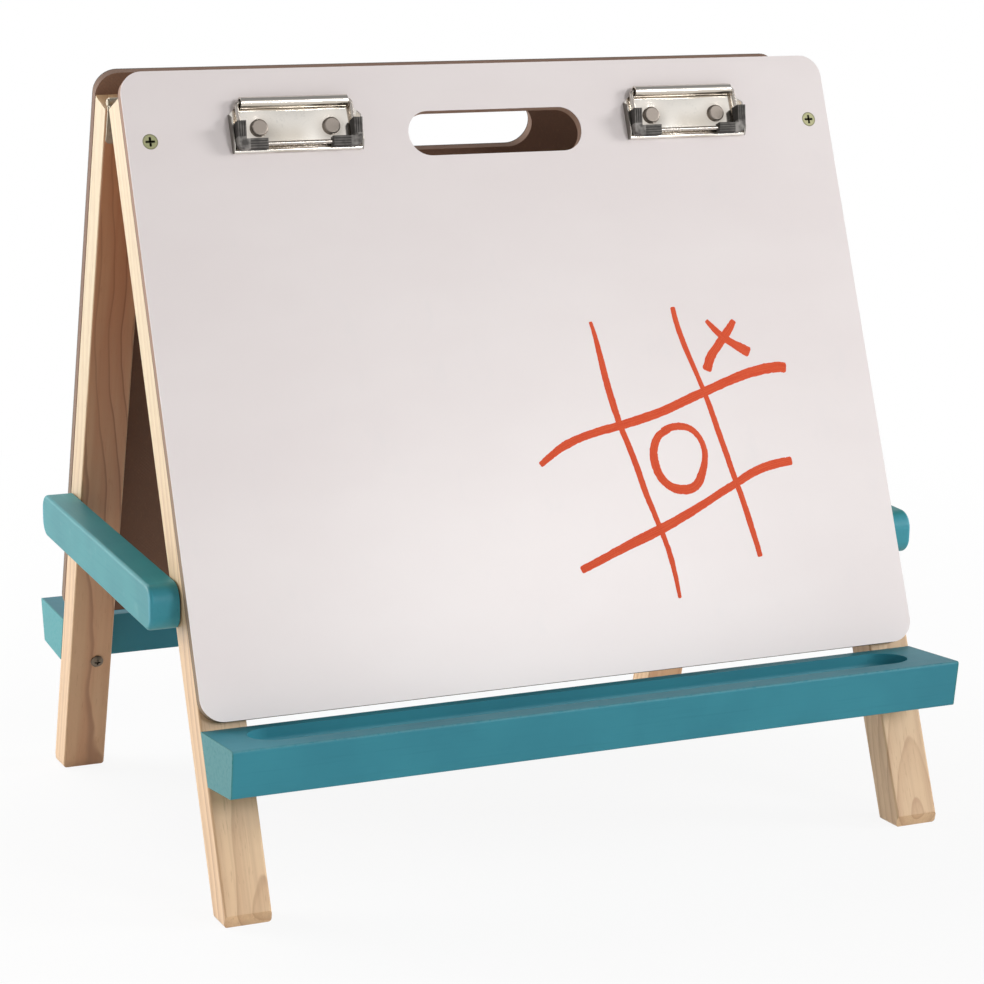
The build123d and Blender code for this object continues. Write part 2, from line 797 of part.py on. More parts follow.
def make_clip_grips(side):
    """The two moulded corner grips on the bail: leaning front, ribbed arms round a plain corner."""
    low = clip_spot(side, 0, grip_rise, grip_front_low)
    front = Plane(
        low.origin,
        x_dir=(1, 0, 0),
        z_dir=low.z_dir * cos(grip_tilt) - low.y_dir * sin(grip_tilt),
    )
    face_height = grip_height / cos(grip_tilt)
    arm_middle = grip_outer - grip_width / 2
    bar_length = grip_length - grip_block
    post_length = face_height - grip_block
    with BuildPart() as grips:
        for end in (-1, 1):
            with BuildSketch(clip_spot(side, 0, grip_rise, grip_stand)):
                with BuildLine():
                    Polyline(
                        (end * grip_outer, 0),
                        (end * grip_outer, grip_height),
                        (end * (grip_outer - grip_width), grip_height),
                        (end * (grip_outer - grip_width), grip_bar_height),
                        (end * (grip_outer - grip_length), grip_bar_height),
                        (end * (grip_outer - grip_length), 0),
                        close=True,
                    )
                make_face()
                corner = vertices().group_by(Axis.Y)[0].sort_by(Axis.X)[-1 if end > 0 else 0]
                fillet(corner, grip_corner)
            extrude(amount=grip_front_high - grip_stand)
        split(bisect_by=front, keep=Keep.BOTTOM)
        rims = grips.faces().filter_by(Axis((0, 0, 0), front.z_dir)).edges()
        fillet(rims, grip_ease)
        # grooves along both arms
        with BuildSketch(front):
            for end in (-1, 1):
                for step in (-1, 0, 1):
                    with Locations(
                        (
                            end * (arm_middle + step * rib_pitch),
                            grip_block + post_length / 2 - grip_ease,
                        )
                    ):
                        SlotOverall(post_length - 2 * grip_ease, rib_groove, rotation=90)
                    with Locations(
                        (
                            end * (grip_outer - grip_block - bar_length / 2 + grip_ease),
                            grip_bar_height / 2 + step * rib_pitch,
                        )
                    ):
                        SlotOverall(bar_length - 2 * grip_ease, rib_groove)
        extrude(amount=-rib_depth, mode=Mode.SUBTRACT)
        add(make_bail(side, bail_wire_radius + hole_clearance), mode=Mode.SUBTRACT)
    return grips.part


# ---------------------------------------------------------------- write every piece
os.makedirs("parts", exist_ok=True)

for facing, frame, board in ((FRONT, "front", "whiteboard"), (REAR, "rear", "chalkboard")):
    for hand, side in SIDES.items():
        finish(make_leg(facing, side), f"{frame}_{hand}_leg")
        finish(
            make_leaf(facing, side, (-1, 1) if facing == FRONT else (0,)),
            f"{frame}_{hand}_hinge_leaf",
        )
    finish(make_sheet(facing, leg_outer, backing_thickness), f"{frame}_backing_panel")
    finish(
        make_sheet(facing, leg_outer + backing_thickness, facing_thickness),
        f"{frame}_{board}_face",
    )
    finish(make_board_screws(facing), f"{frame}_board_screws")
    finish(make_tray(facing), f"{frame}_tray")
    finish(make_tray_screws(facing), f"{frame}_tray_screws")
    finish(make_dowels(facing), f"{frame}_tray_dowels")
    finish(make_hinge_screws(facing), f"{frame}_hinge_screws")

for hand, side in SIDES.items():
    finish(make_hinge_pin(side), f"{hand}_hinge_pin")
    finish(make_stay(side), f"{hand}_stay")
    finish(make_stay_bolt(side), f"{hand}_stay_bolt")
    finish(make_stay_insert(side), f"{hand}_stay_insert")
    finish(make_stay_washers(side), f"{hand}_stay_washers")
    finish(make_stay_peg(side), f"{hand}_stay_peg")
    finish(make_clip_base(side), f"{hand}_clip_base")
    finish(make_clip_rivets(side), f"{hand}_clip_rivets")
    finish(make_bail(side, bail_wire_radius), f"{hand}_clip_bail")
    finish(make_clip_grips(side), f"{hand}_clip_grips")
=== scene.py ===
import json
from math import atan2, cos, radians, sin

import bpy
import numpy as np
from mathutils import Matrix, Vector


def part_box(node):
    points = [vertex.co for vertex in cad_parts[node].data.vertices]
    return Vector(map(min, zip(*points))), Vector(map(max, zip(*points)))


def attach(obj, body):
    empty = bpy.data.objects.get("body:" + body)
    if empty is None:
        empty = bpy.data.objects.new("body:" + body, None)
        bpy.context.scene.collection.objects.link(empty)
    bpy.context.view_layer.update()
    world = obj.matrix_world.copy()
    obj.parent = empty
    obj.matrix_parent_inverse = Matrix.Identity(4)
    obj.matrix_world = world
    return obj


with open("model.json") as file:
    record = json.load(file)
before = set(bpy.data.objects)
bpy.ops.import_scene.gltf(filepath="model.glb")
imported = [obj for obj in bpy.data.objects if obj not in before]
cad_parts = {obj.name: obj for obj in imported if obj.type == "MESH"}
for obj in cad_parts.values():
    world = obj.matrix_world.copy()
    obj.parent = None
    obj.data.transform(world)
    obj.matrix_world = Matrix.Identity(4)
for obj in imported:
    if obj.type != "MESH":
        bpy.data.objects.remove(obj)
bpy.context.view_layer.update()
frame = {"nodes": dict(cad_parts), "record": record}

nodes = frame["nodes"]
joints = {joint["name"]: joint for joint in frame["record"]["behaviour"]["joints"]}
mounts = {mount["name"]: mount for mount in frame["record"]["mounts"]}

# ------------------------------------------------------------------ the four legs
# Planed pine bars, eased along their edges, leaning together in pairs under the hinges.
# Clear satin lacquer over the wood; the feet are cut level and worn a little by the desk.


class Reading:
    """An output of a finish, mostly a number that varies over the surface; arithmetic on it adds
    Math nodes to the finish."""

    def __init__(self, finish, socket):
        self.finish = finish
        self.socket = socket

    def __add__(self, other):
        return self.finish.math("ADD", self, other)

    def __radd__(self, other):
        return self.finish.math("ADD", other, self)

    def __sub__(self, other):
        return self.finish.math("SUBTRACT", self, other)

    def __rsub__(self, other):
        return self.finish.math("SUBTRACT", other, self)

    def __mul__(self, other):
        return self.finish.math("MULTIPLY", self, other)

    def __rmul__(self, other):
        return self.finish.math("MULTIPLY", other, self)

    def __truediv__(self, other):
        return self.finish.math("DIVIDE", self, other)

    def __pow__(self, other):
        return self.finish.math("POWER", self, other)

    def __abs__(self):
        return self.finish.math("ABSOLUTE", self)


class Finish:
    """A material on one Principled shader, or a given tree, and the patterns that node() puts in
    front of it."""

    def __init__(self, name, tree=None, **even):
        if tree is None:
            self.material = bpy.data.materials.new(name)
            self.material.use_nodes = True
            tree = self.material.node_tree
        self.tree = tree
        self.shader = tree.nodes.get("Principled BSDF")
        for socket, value in even.items():
            self.shader.inputs[socket.replace("_", " ")].default_value = value

    def node(self, kind, settings=None, sockets=None, out=0):
        """Make a node of a type: its settings first, then the values or links of its sockets."""
        made = self.tree.nodes.new("ShaderNode" + kind)
        for key, value in (settings or {}).items():
            setattr(made, key, value)
        for key, value in (sockets or {}).items():
            self.feed(made.inputs[key], value)
        return Reading(self, made.outputs[out])

    def feed(self, socket, value):
        """Link a reading to a socket, or set the socket to an even value."""
        if isinstance(value, Reading):
            self.tree.links.new(value.socket, socket)
        else:
            socket.default_value = value

    def math(self, operation, *terms):
        """Work out an operation on one or two readings or numbers."""
        return self.node("Math", {"operation": operation}, dict(enumerate(terms)))

    def place(self, turn, shift=(0, 0, 0), scale=(1, 1, 1)):
        """Object coordinates turned about X, scaled and shifted."""
        own = self.node("TexCoord", out="Object")
        turned = self.node("Mapping", {}, {"Vector": own, "Rotation": (turn, 0, 0)})
        return self.node("Mapping", {}, {"Vector": turned, "Location": shift, "Scale": scale})

    def axes(self, turn=0.0):
        """The three turned Object coordinates, each as a reading in metres."""
        spot = self.place(turn)
        return [self.node("SeparateXYZ", {}, {0: spot}, out=axis) for axis in range(3)]

    def noise(self, turn, shift, scale, detail, rough=0.5):
        """Cloudy noise from 0 to 1 on turned coordinates, with scale clouds to the metre."""
        spot = self.place(turn, shift, scale)
        return self.node(
            "TexNoise", {}, {"Vector": spot, "Scale": 1.0, "Detail": detail, "Roughness": rough}
        )

    def step(self, reading, low, high, to_low=0.0, to_high=1.0):
        """Smooth step of a reading from low to high."""
        return self.node(
            "MapRange",
            {"interpolation_type": "SMOOTHSTEP"},
            {0: reading, 1: low, 2: high, 3: to_low, 4: to_high},
        )

    def blend(self, first, second, amount):
        """Mix two colours by an amount."""
        return self.node("Mix", {"data_type": "RGBA"}, {0: amount, 6: first, 7: second}, out=2)

    def relief(self, height, depth, strength):
        """Bump of a height reading from 0 to 1 that stands depth metres."""
        return self.node(
            "Bump", {}, {"Strength": strength, "Distance": depth, "Height": height}
        )

    def show(self, **patterns):
        """Feed patterns to the shader's sockets, and return the material."""
        for socket, value in patterns.items():
            self.feed(self.shader.inputs[socket.replace("_", " ")], value)
        return self.material


def rgb(red, green, blue):
    """An opaque colour, in linear light."""
    return (red, green, blue, 1.0)


def scaled(colour, light):
    """A colour made lighter or darker by a factor."""
    return rgb(*(light * channel for channel in colour[:3]))


def coat(node, *materials):
    """Give a CAD node its finish, one material per slot."""
    slots = nodes[node].data.materials
    slots.clear()
    for material in materials:
        slots.append(material)


FRONT, REAR = 1, -1
_, face_level, face_upward = mounts["chalkboard_face"]["axis"]
lean = atan2(face_upward, face_level)
_, _, hinge_height = joints["frame_fold"]["pos_m"]
# Turned upright by its lean, a frame faces -Y at the front and +Y at the rear. The hinge line then
# lies hinge_out that way and hinge_along up, and the legs start leg_inner beyond it.
hinge_out = hinge_height * sin(lean)
hinge_along = hinge_height * cos(lean)
leg_inner = 0.0015
pith_heights = (0.19, 0.05)  # how far up a leg its pith's places across and through it hold
ring_pitch = 0.0056
scuff_height = 0.009
light_pine, deep_pine = rgb(0.765, 0.53, 0.31), rgb(0.70, 0.455, 0.25)
# Painted light: a paler, less red pine for the upper side faces.
side_painted_light_pine = rgb(0.65, 0.528, 0.322)
late_wood, late_line = rgb(0.45, 0.235, 0.12), rgb(0.34, 0.15, 0.065)
streak_brown, fleck_brown = rgb(0.46, 0.26, 0.135), rgb(0.40, 0.21, 0.10)
# Painted shade for the legs' inner faces: a red-brown, and a darker colour for their grain lines.
inner_shade_red, inner_shade_line = rgb(0.46, 0.165, 0.066), rgb(0.20, 0.075, 0.035)
scuff_brown = rgb(0.38, 0.25, 0.16)


def pine(name, facing, pith, skew, dip, seed, light):
    """Growth rings round a pith beside the leg, r = distance from a wandering axis that leans by
    skew across the bar and by dip through it, so that the rings run out of its faces in flames,
    with dark late wood at the end of each. Over them fibres drawn out along the leg, a slow change
    of tone, painted shade on the inner face (red-brown and darker higher up, with darker grain
    lines), painted light on the upper side faces (paler, with weaker grain), and the whole bar
    lighter or darker by light, partly its own tone and partly painted light."""
    wood = Finish(name, Coat_Weight=0.2, Coat_Roughness=0.28, Specular_IOR_Level=0.5)
    turn = facing * lean
    across, deep, along = wood.axes(turn)
    _, _, rise = wood.axes()

    sway = wood.noise(turn, (seed, 0, 0), (7, 7, 5.5), 1.0) - 0.5
    drift = wood.noise(turn, (0, seed, 4), (14, 14, 5.5), 1.0) - 0.5
    wander = wood.noise(turn, (seed, 1, 2), (46, 46, 16), 2.0) - 0.5
    aside = across - pith[0] + skew * (along - pith_heights[0]) + 0.034 * sway
    behind = deep - pith[1] + dip * (along - pith_heights[1]) + 0.016 * drift
    radius = (aside * aside + behind * behind) ** 0.5 + 0.0055 * wander
    growth = wood.math("FRACT", radius / ring_pitch + seed)
    before_next = 1.0 - wood.step(growth, 0.94, 0.995)
    late = wood.step(growth, 0.2, 0.93) * before_next
    line = wood.step(growth, 0.8, 0.92) * before_next

    # Painted light: the upper side faces are paler, and their grain weaker.
    surface = wood.node("NewGeometry", out="Normal")
    sideways = wood.step(abs(wood.node("SeparateXYZ", {}, {0: surface}, out=0)), 0.6, 0.95)
    painted_light_sides = sideways * wood.step(rise, 0.10, 0.26)
    strong = wood.step(wood.noise(turn, (seed, 3, 0), (60, 60, 4), 1.0), 0.35, 0.7, 0.35, 1.0)
    strong = strong * (1.0 - 0.6 * painted_light_sides)
    fibre = wood.noise(turn, (seed, 0, 0), (1500, 1500, 34), 3.0, 0.65)
    streak = wood.noise(turn, (0, 0, seed), (240, 240, 5), 2.0, 0.6)
    tone = wood.noise(turn, (seed, seed, 0), (18, 18, 7), 2.0)
    pore = wood.noise(turn, (seed, 6, 0), (1150, 1150, 110), 2.0, 0.55)
    fleck = wood.step(fibre, 0.56, 0.78) + wood.step(pore, 0.6, 0.7)
    shade = wood.blend(scaled(light_pine, light), scaled(deep_pine, light), tone)
    shade = wood.blend(shade, scaled(side_painted_light_pine, light), painted_light_sides * 0.8)
    shade = wood.blend(shade, late_wood, late * strong * 0.5)
    shade = wood.blend(shade, late_line, line * strong * 0.38)
    shade = wood.blend(shade, streak_brown, wood.step(streak, 0.48, 0.76) * 0.3)
    shade = wood.blend(shade, fleck_brown, fleck * 0.3)

    # Painted shade on the inner face: red-brown, darker higher up the leg where the boards close
    # over it, with the grain lines darker still.
    out = (-facing * deep) - hinge_out
    inside = 1.0 - wood.step(out, leg_inner, leg_inner + 0.0006)
    shade_patches = wood.step(wood.noise(turn, (seed, 9, 0), (110, 110, 5), 2.0, 0.55), 0.42, 0.62)
    wedge_shade = wood.step(rise, 0.04, 0.36, 0.28, 0.68) + 0.16 * shade_patches
    shade = wood.blend(shade, inner_shade_red, inside * wedge_shade)
    shade = wood.blend(shade, inner_shade_line, inside * line * strong * 0.45)
    desk_wear = wood.noise(turn, (0, 0, 0), (260, 260, 260), 3.0)
    scuff = wood.step(rise, scuff_height, 0.0) * desk_wear
    shade = wood.blend(shade, scuff_brown, wood.step(scuff, 0.2, 0.8) * 0.35)
    return wood.show(
        Base_Color=shade,
        Roughness=0.36 + 0.14 * fibre + 0.06 * late,
        Normal=wood.relief(late * 0.4 + fibre * 0.5, 0.00008, 0.5),
    )


# The last number makes each whole leg lighter or darker: partly the pine's own tone, partly painted
# light, lighter on the front left leg farther from the key lamp and darker on the front right one.
for leg, facing, pith, skew, dip, seed, light in (
    ("front_left_leg", FRONT, (-0.184, -0.176), 0.02, 0.11, 3.1, 1.06),
    ("front_right_leg", FRONT, (0.199, -0.175), -0.04, 0.13, 7.7, 0.96),
    ("rear_left_leg", REAR, (-0.226, 0.176), 0.11, 0.02, 12.4, 1.0),
    ("rear_right_leg", REAR, (0.180, 0.184), 0.03, -0.09, 18.9, 1.0),
):
    coat(leg, pine("pine_" + leg, facing, pith, skew, dip, seed, light))

# ------------------------------------------------------------------ board backings
# Dark wood-fibre hardboard, 5 mm, smooth outside and with the press screen's weave on its back.
# The edges are sawn and sanded; the boards are screwed to the legs at their top corners.
leg_outer = 0.0210
weave_pitch = 0.0021
press_brown, press_dark = rgb(0.215, 0.116, 0.074), rgb(0.158, 0.086, 0.054)
press_fibre = rgb(0.29, 0.165, 0.10)


def hardboard(name, facing, sawn_low, sawn_high):
    """Short fibres as noise, a woven screen of crossed sine waves on the inner face, and paler sawn
    edges whose colour changes with height as painted light: lighter towards the top on the front
    board, and darker towards the top, a painted shade, on the rear one."""
    board = Finish(name, Specular_IOR_Level=0.3)
    turn = facing * lean
    across, deep, along = board.axes(turn)
    _, _, rise = board.axes()
    out = (-facing * deep) - hinge_out
    fibre = board.noise(turn, (0, 0, 0), (900, 900, 420), 5.0, 0.7)
    cloud = board.noise(turn, (2, 0, 0), (26, 26, 26), 3.0)
    wave = 2 * np.pi / weave_pitch
    weave = board.math("SINE", across * wave) * board.math("SINE", along * wave)
    inner = 1.0 - board.step(abs(out - leg_outer), 0.0002, 0.0006)
    brown = board.blend(press_brown, press_dark, cloud)
    specked = board.blend(brown, press_fibre, board.step(fibre, 0.5, 0.74) * 0.3)
    sawn = board.blend(sawn_low, sawn_high, board.step(rise, 0.13, 0.3))
    height = fibre * 0.45 + inner * weave * 0.2
    return board.show(
        Base_Color=board.blend(specked, sawn, (1.0 - inner) * 0.9),
        Roughness=0.62 + 0.2 * fibre,
        Normal=board.relief(height, 0.00022, 0.8),
    )


# Sawn edge colours low and high up; the change with height is painted light on the front board and
# painted shade on the rear.
for end, facing, sawn_low, sawn_high in (
    ("front", FRONT, rgb(0.26, 0.19, 0.125), rgb(0.34, 0.212, 0.152)),
    ("rear", REAR, rgb(0.26, 0.18, 0.125), rgb(0.215, 0.13, 0.09)),
):
    coat(end + "_backing_panel", hardboard("hardboard_" + end, facing, sawn_low, sawn_high))

# ------------------------------------------------------------------ whiteboard face
# Thin steel sheet enamelled white and laminated to the front backing, so that magnets hold.
# It shows faint wiping marks and ghosts of old ink, and the slight orange peel of the enamel.
enamel = Finish("white_enamel", Coat_Weight=0.75, Coat_Roughness=0.27, Specular_IOR_Level=0.2)
white, wiped_white = rgb(0.83, 0.768, 0.760), rgb(0.80, 0.732, 0.726)
old_ink, scratch_grey = rgb(0.70, 0.69, 0.70), rgb(0.62, 0.61, 0.62)
wipe = enamel.noise(lean, (0, 0, 0), (5, 5, 11), 3.0, 0.6)
swirl = enamel.noise(lean + 0.6, (3, 0, 1), (55, 55, 7), 3.0, 0.6)
hair = enamel.noise(lean - 0.35, (0, 0, 5), (1400, 1400, 20), 2.0, 0.6)
peel = enamel.noise(lean, (0, 0, 0), (420, 420, 420), 1.0, 0.4)
clean = enamel.blend(white, wiped_white, enamel.step(wipe, 0.3, 0.7))
ghosted = enamel.blend(clean, old_ink, enamel.step(swirl, 0.58, 0.82) * 0.14)
coat(
    "front_whiteboard_face",
    enamel.show(
        Base_Color=enamel.blend(ghosted, scratch_grey, enamel.step(hair, 0.68, 0.82) * 0.10),
        Roughness=0.42 + 0.12 * swirl + 0.05 * hair,
        Normal=enamel.relief(peel, 0.00003, 0.35),
    ),
)

# ------------------------------------------------------------------ chalkboard face
# The same steel sheet with a matt black writing coat on the rear backing.
# Old chalk is rubbed into it in broad wiping arcs, with fine dust left in the grain.
slate = Finish("black_writing_coat", Specular_IOR_Level=0.25)
slate_black, slate_grey = rgb(0.020, 0.023, 0.022), rgb(0.034, 0.037, 0.035)
chalk = rgb(0.42, 0.43, 0.42)
arc = slate.noise(-lean + 0.5, (0, 2, 0), (9, 9, 30), 4.0, 0.65)
cloud = slate.noise(-lean, (1, 0, 0), (7, 7, 7), 3.0, 0.55)
dust = slate.noise(-lean, (0, 0, 0), (1300, 1300, 1300), 2.0, 0.6)
haze = slate.step(arc, 0.42, 0.75) * slate.step(cloud, 0.35, 0.7)
black = slate.blend(slate_black, slate_grey, cloud)
coat(
    "rear_chalkboard_face",
    slate.show(
        Base_Color=slate.blend(black, chalk, haze * 0.16 + slate.step(dust, 0.6, 0.8) * 0.05),
        Roughness=0.66 + 0.2 * haze,
        Normal=slate.relief(dust, 0.00004, 0.5),
    ),
)

# ------------------------------------------------------------------ trays
# Solid wood rails painted teal, with a routed trough for pens and chalk.
# The satin paint lets the grain through a little; a paler teal on the trays' edges is a painted
# highlight.
# The paler teal: a painted highlight along the trays' edges, and rubbed wear on the stays.
teal_grain, teal_highlight_and_wear = rgb(0.020, 0.180, 0.235), rgb(0.20, 0.42, 0.45)
tray_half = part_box("front_tray")[1].x
tray_lip = (0.0682, -0.3372)  # the upper front edge, out from and up along the frame's hinge line


def teal_paint(name, turn, stretch, seed, highlight_and_wear_edges, deep, mid, gloss, ends):
    """Slow mottling between two teals, grain lines drawn out along the piece under the film, a
    paler teal where the given edge reading is 1, a painted highlight on the trays' edges and rubbed
    wear on the stays, and another teal on the sawn ends as painted light: ends is that tint, the
    axis, and where along it the tint starts and is full."""
    paint = Finish(name, Specular_IOR_Level=0.32, Coat_Weight=gloss, Coat_Roughness=0.3)
    mottle = paint.noise(turn, (seed, 0, 0), (22, 22, 22), 3.0)
    line = paint.noise(turn, (0, seed, 0), tuple(700 * s for s in stretch), 3.0, 0.6)
    broad = paint.noise(turn, (0, 0, seed), tuple(150 * s for s in stretch), 2.0, 0.5)
    nib = paint.noise(turn, (seed, 0, 2), (520, 520, 520), 2.0, 0.5)
    film = paint.blend(mid, deep, paint.step(mottle, 0.3, 0.72))
    tint, axis, start, full = ends
    reach = paint.axes()[axis]
    film = paint.blend(film, tint, paint.step(abs(reach), start, full))
    film = paint.blend(film, teal_grain, paint.step(line, 0.55, 0.8) * 0.32)
    edge = highlight_and_wear_edges(paint) * paint.step(nib, 0.15, 0.6)
    height = 0.5 * line + 0.3 * broad + 0.2 * nib
    return paint.show(
        Base_Color=paint.blend(film, teal_highlight_and_wear, edge * 0.6),
        Roughness=0.40 + 0.12 * line + 0.08 * mottle,
        Normal=paint.relief(height, 0.00008, 0.6),
    )


def near_line(finish, facing, out, up, reach):
    """1 on a line along X that lies (out, up) from the hinge line of a leaning frame, falling to 0
    at reach metres."""
    _, deep, along = finish.axes(facing * lean)
    aside = -facing * deep - (hinge_out + out)
    above = along - (hinge_along + up)
    gap = (aside * aside + above * above) ** 0.5
    return 1.0 - finish.step(gap, 0.3 * reach, reach)


def tray_highlight_edges(facing):
    """The tray's upper front edge and the rims of its two ends, where a paler teal is painted as a
    highlight.
    """

    def reading(finish):
        lip = near_line(finish, facing, *tray_lip, 0.0014)
        across, _, _ = finish.axes()
        end = finish.step(abs(across), tray_half - 0.0009, tray_half - 0.0002)
        return finish.math("MAXIMUM", lip, end * 0.35)

    return reading


front_deep, front_mid = rgb(0.027, 0.218, 0.284), rgb(0.033, 0.250, 0.318)
# The rear tray's teals are darker than the front's: painted shade for the shade it stands in behind
# the boards.
rear_shaded_deep, rear_shaded_mid = rgb(0.022, 0.178, 0.235), rgb(0.027, 0.205, 0.264)
# End tints are painted light, each end's tone under the lamps: darker and greener on the front
# tray, lighter on the rear.
for tray, facing, seed, sawn, deep, mid in (
    ("front_tray", FRONT, 1.3, rgb(0.016, 0.185, 0.195), front_deep, front_mid),
    ("rear_tray", REAR, 6.1, rgb(0.024, 0.268, 0.285), rear_shaded_deep, rear_shaded_mid),
):
    name, turn, grain, tray_highlights = "teal_" + tray, facing * lean, (0.03, 1, 1), tray_highlight_edges(facing)
    sawn_ends = (sawn, 0, tray_half - 0.001, tray_half - 0.0004)
    coat(tray, teal_paint(name, turn, grain, seed, tray_highlights, deep, mid, 0.04, sawn_ends))

# ------------------------------------------------------------------ stays
# Two teal bars outside the legs, bolted to the front ones and hooked on pegs in the rear ones.
# Painted like the trays from a slightly greener tin; their grain runs from pivot to peg.
stay_deep, stay_mid = rgb(0.018, 0.222, 0.248), rgb(0.024, 0.258, 0.280)
# The stays' noses get a lighter, bluer teal: painted light.
stay_ends = (rgb(0.042, 0.300, 0.375), 1, 0.0985, 0.1025)
stay_grain = (1, 0.03, 1)
stay_tilt = radians(3.362)


def stay_edges(finish):
    """No single edge stands out on the rounded bar: small rubbed places all over it."""
    rub = finish.noise(0.0, (4, 0, 0), (60, 60, 60), 2.0)
    return finish.step(rub, 0.62, 0.8) * 0.4


for hand, seed in (("left", 2.2), ("right", 9.4)):
    stay = hand + "_stay"
    tin = (stay_deep, stay_mid, 0.12, stay_ends)
    coat(stay, teal_paint("teal_" + stay, -stay_tilt, stay_grain, seed, stay_edges, *tin))

# ------------------------------------------------------------------ hinges
# Steel butt hinges, zinc plated, screwed to the inner faces of the legs, with a headed pin.
# The plating is dull, with a faint crystal spangle and fine handling scratches.
# Near black, for the painted shade in the screws' cross recesses and round their heads.
recess_shade_colour = rgb(0.035, 0.034, 0.022)


def plated(name, base, spangle, rough, tint, shaded_where=None):
    """Plating: crystals as Voronoi cells of slightly different tone, scratches as stretched noise,
    a slow tint over the piece, and a near black painted shade where the last argument's reading is
    1."""
    metal = Finish(name, Metallic=1.0)
    cell = metal.node(
        "TexVoronoi", {}, {"Vector": metal.place(0.3), "Scale": spangle}, out="Color"
    )
    tone = metal.node("SeparateXYZ", {}, {0: cell})
    scratch = metal.noise(0.7, (0, 0, 0), (2600, 90, 2600), 2.0, 0.6)
    slow = metal.noise(0.0, (5, 0, 0), (160, 160, 160), 2.0)
    shade = metal.blend(base, scaled(base, 0.72), tone * 0.5)
    shade = metal.blend(shade, tint, metal.step(slow, 0.4, 0.7) * 0.5)
    if shaded_where:
        shade = metal.blend(shade, recess_shade_colour, shaded_where(metal) * 0.9)
    return metal.show(
        Base_Color=shade,
        Roughness=rough + 0.12 * tone + 0.1 * scratch,
        Normal=metal.relief(scratch, 0.00002, 0.4),
    )


zinc = plated("dull_zinc", rgb(0.44, 0.39, 0.31), 620, 0.5, rgb(0.38, 0.34, 0.27))
for hand in ("left", "right"):
    coat("front_" + hand + "_hinge_leaf", zinc)
    coat("rear_" + hand + "_hinge_leaf", zinc)
    coat(hand + "_hinge_pin", zinc)
coat("front_hinge_screws", zinc)
coat("rear_hinge_screws", zinc)

# ------------------------------------------------------------------ screws, bolts and pegs
# Cross-recess screws, pivot bolts and hook pegs, yellow zinc plated with its greenish sheen;
# the domed tray screws inside the legs get a darker brown zinc, a painted shade.
screw_head = 0.004
board_screw_up = -0.0290
board_screw_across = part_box("front_board_screws")[1].x - screw_head


def board_screw_shade(facing):
    """Painted shade in the cross recess and, less, at the rim of the two flat heads: with a and u
    the distances from a screw's middle across and up, the cross is where min(|a|, |u|) is small and
    the rim where sqrt(a^2 + u^2) comes near the head's radius."""

    def reading(metal):
        across, _, along = metal.axes(facing * lean)
        aside = abs(abs(across) - board_screw_across)
        above = abs(along - (hinge_along + board_screw_up))
        far = (aside * aside + above * above) ** 0.5
        arms = 1.0 - metal.step(metal.math("MINIMUM", aside, above), 0.0004, 0.0009)
        cross = arms * (1.0 - metal.step(far, 0.55 * screw_head, 0.68 * screw_head))
        rim = metal.step(far, 0.8 * screw_head, screw_head) * 0.7
        return metal.math("MAXIMUM", cross, rim)

    return reading


yellow, green = rgb(0.30, 0.29, 0.17), rgb(0.22, 0.245, 0.125)
passivate = plated("yellow_zinc", yellow, 900, 0.30, green)
# The tray screws inside the legs get a dark brown zinc: painted shade.
tray_screw_shade_zinc = plated("tray_screw_shaded_zinc", rgb(0.17, 0.135, 0.10), 900, 0.33, rgb(0.13, 0.10, 0.07))
for hand in ("left", "right"):
    coat(hand + "_stay_bolt", passivate)
    coat(hand + "_stay_peg", passivate)
for end, facing in (("front", FRONT), ("rear", REAR)):
    heads = plated("yellow_zinc_" + end, yellow, 900, 0.30, green, board_screw_shade(facing))
    coat(end + "_board_screws", heads)
    coat(end + "_tray_screws", tray_screw_shade_zinc)

# ------------------------------------------------------------------ dowels, inserts and washers
# Beech dowels key the trays to the legs, brass inserts take the bolts in the stays, and nylon
# washers let the stays turn on the legs.
beech = Finish("beech_dowel", Specular_IOR_Level=0.3)
pore = beech.noise(0.0, (0, 0, 0), (900, 60, 900), 3.0, 0.6)
beech_pale, beech_brown = rgb(0.62, 0.42, 0.26), rgb(0.46, 0.28, 0.16)
beech.show(
    Base_Color=beech.blend(beech_pale, beech_brown, beech.step(pore, 0.4, 0.75)),
    Roughness=0.6 + 0.2 * pore,
    Normal=beech.relief(pore, 0.00005, 0.6),
)
coat("front_tray_dowels", beech.material)
coat("rear_tray_dowels", beech.material)

brass = plated("turned_brass", rgb(0.72, 0.52, 0.22), 300, 0.26, rgb(0.62, 0.42, 0.18))
nylon = Finish("nylon_washer", Specular_IOR_Level=0.4)
mould = nylon.noise(0.0, (0, 0, 0), (700, 700, 700), 2.0)
nylon.show(
    Base_Color=nylon.blend(rgb(0.78, 0.77, 0.73), rgb(0.66, 0.65, 0.61), mould),
    Roughness=0.42 + 0.15 * mould,
    Normal=nylon.relief(mould, 0.00003, 0.5),
)
for hand in ("left", "right"):
    coat(hand + "_stay_insert", brass)
    coat(hand + "_stay_washers", nylon.material)

# ------------------------------------------------------------------ paper clips
# Pressed steel plates rolled into a barrel, riveted through the board, with a sprung wire bail.
# Bright nickel with fine scratches; the rivet heads are darker, with a satin grain.
clip_middle, barrel_y, barrel_z = joints["right_clip_open"]["pos_m"]
clip_ends = [corner.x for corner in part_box("right_clip_base")]
clip_half = (clip_ends[1] - clip_ends[0]) / 2
barrel_up = 0.02585
barrel_radius = 0.00295
clip_low = barrel_y * sin(lean) + barrel_z * cos(lean) - barrel_up
clip_centre = clip_low + 0.0144
rivet_aside = 0.0195
rivet_up = 0.0131
rivet_reach = 0.0078
shade_band_aside = 0.005
plate_bright, wire_dull = rgb(0.92, 0.875, 0.81), rgb(0.50, 0.46, 0.42)
